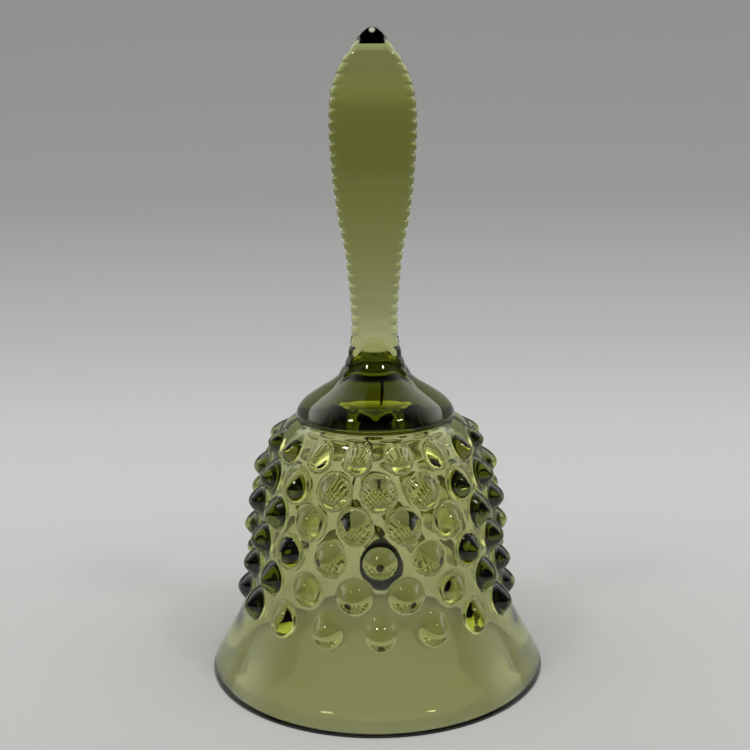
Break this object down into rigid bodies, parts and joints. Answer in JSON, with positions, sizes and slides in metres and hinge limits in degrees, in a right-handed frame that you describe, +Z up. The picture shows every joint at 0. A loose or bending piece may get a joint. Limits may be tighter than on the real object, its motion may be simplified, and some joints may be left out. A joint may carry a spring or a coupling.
{
  "type": "glass hand bell",
  "caption": "Pressed-glass hand bell with a beaded paddle handle, hobnail bowl and flared skirt, and a teardrop clapper that swings on a bent wire.",
  "frame": {"origin": "centre of the rim's resting face, on the bell's axis", "axes": "+Z up the bell's axis to the tip of the handle, -Y towards the handle's front face"},
  "size_m": [0.0804, 0.0804, 0.15],
  "materials": {
    "green_glass": "clear olive-green pressed glass, fire polished",
    "dark_wire": "dull oxidised iron wire",
    "clapper_metal": "dark cast metal, slightly shiny"
  },
  "bodies": {
    "bell": {"handle": "green_glass", "crown": "green_glass", "bowl": "green_glass", "skirt": "green_glass", "hobnails": "green_glass", "anchor_staple": "dark_wire"},
    "wire": {"hanging_wire": "dark_wire"},
    "clapper": {"clapper": "clapper_metal", "clapper_eye": "dark_wire"}
  },
  "joints": [
    {"name": "wire_swing", "type": "hinge", "parent": "bell", "child": "wire", "pos_m": [0.0012, 0, 0.0614], "axis": [0, 1, 0], "range_deg": [-30, 34]},
    {"name": "clapper_swing", "type": "hinge", "parent": "wire", "child": "clapper", "pos_m": [0.0012, 0, 0.0316], "axis": [1, 0, 0], "range_deg": [-50, 50]}
  ]
}
